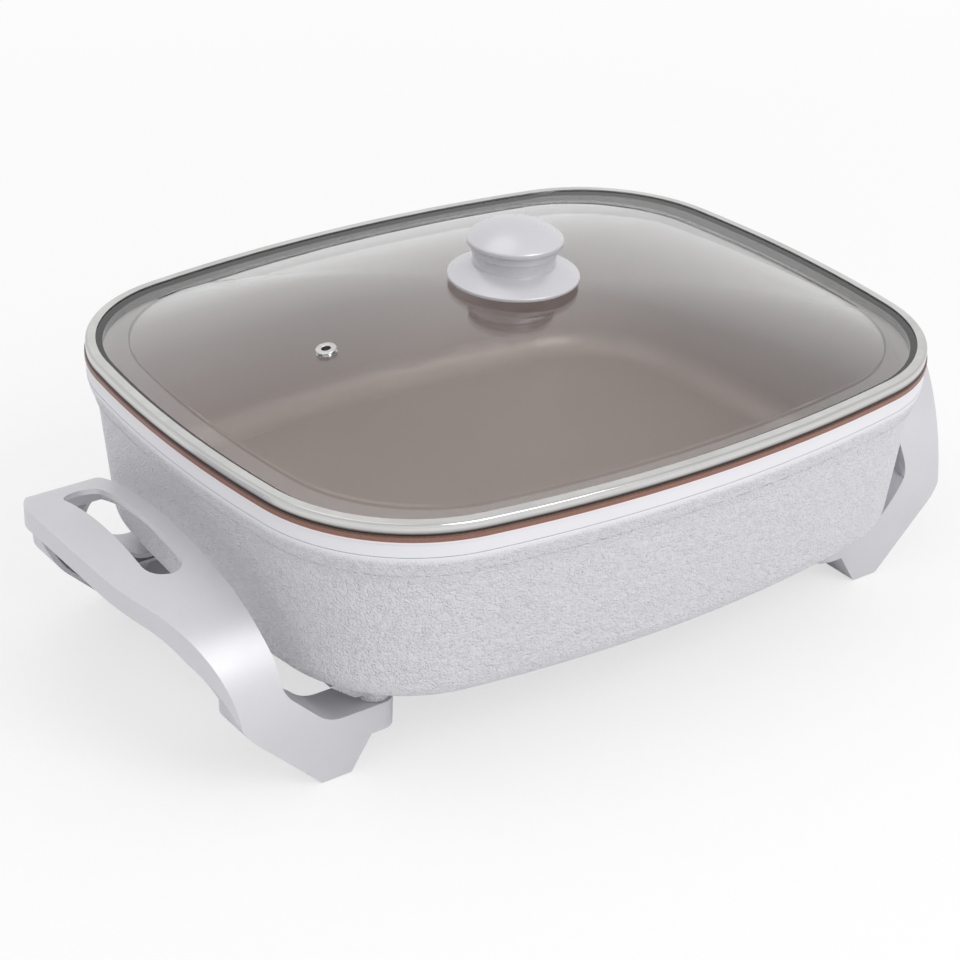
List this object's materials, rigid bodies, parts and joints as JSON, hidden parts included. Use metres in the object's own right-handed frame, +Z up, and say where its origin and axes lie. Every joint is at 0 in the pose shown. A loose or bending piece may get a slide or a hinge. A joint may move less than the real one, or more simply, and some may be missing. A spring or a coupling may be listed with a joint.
{
  "type": "electric skillet",
  "caption": "Deep rectangular electric skillet with a domed glass lift-off lid, knob, copper-coloured non-stick inside and two moulded grips that run down into the legs.",
  "frame": {"origin": "on the table, under the middle of the pan", "axes": "+Z up, +X along the length of the pan from grip to grip, towards the inlet for the control plug; +Y away from the front long side"},
  "size_m": [0.5178, 0.3234, 0.2098],
  "materials": {
    "cast_aluminium": "fine pebbled silver-white paint over cast aluminium",
    "copper_coating": "copper-coloured ceramic non-stick, satin",
    "dull_steel": "dull drawn tube",
    "magnesia": "packed white powder",
    "heating_alloy": "bare wire",
    "plated_steel": "bright plated",
    "white_ceramic": "unglazed white",
    "guard_metal": "satin silver",
    "silver_plastic": "moulded heat-resistant plastic, satin silver",
    "clear_glass": "clear tempered, glossy",
    "polished_steel": "polished stainless",
    "silicone": "translucent grey silicone",
    "knob_plastic": "moulded plastic, satin silver",
    "brass_insert": "turned"
  },
  "bodies": {
    "pan": {"pan_body": "cast_aluminium", "nonstick_coating": "copper_coating", "heater_sheath": "dull_steel", "heater_insulation": "magnesia", "heater_wire": "heating_alloy", "terminal_pins": "plated_steel", "terminal_bushings": "white_ceramic", "probe_well": "dull_steel", "inlet_guard": "guard_metal", "inlet_guard_screws": "plated_steel", "right_handle_bracket": "silver_plastic", "left_handle_bracket": "silver_plastic", "bracket_washers": "plated_steel", "bracket_screws": "plated_steel"},
    "lid": {"lid_glass": "clear_glass", "lid_rim_band": "polished_steel", "vent_eyelet": "polished_steel", "vent_washer": "plated_steel", "knob_seal": "silicone", "knob_skirt": "knob_plastic", "knob_neck": "knob_plastic", "knob_cap": "knob_plastic", "knob_insert": "brass_insert", "inner_seal": "silicone", "knob_washer": "plated_steel", "knob_screw": "plated_steel"}
  },
  "joints": [
    {"name": "lid_lift", "type": "slide", "parent": "pan", "child": "lid", "axis": [0, 0, 1], "range_m": [0, 0.16]}
  ]
}
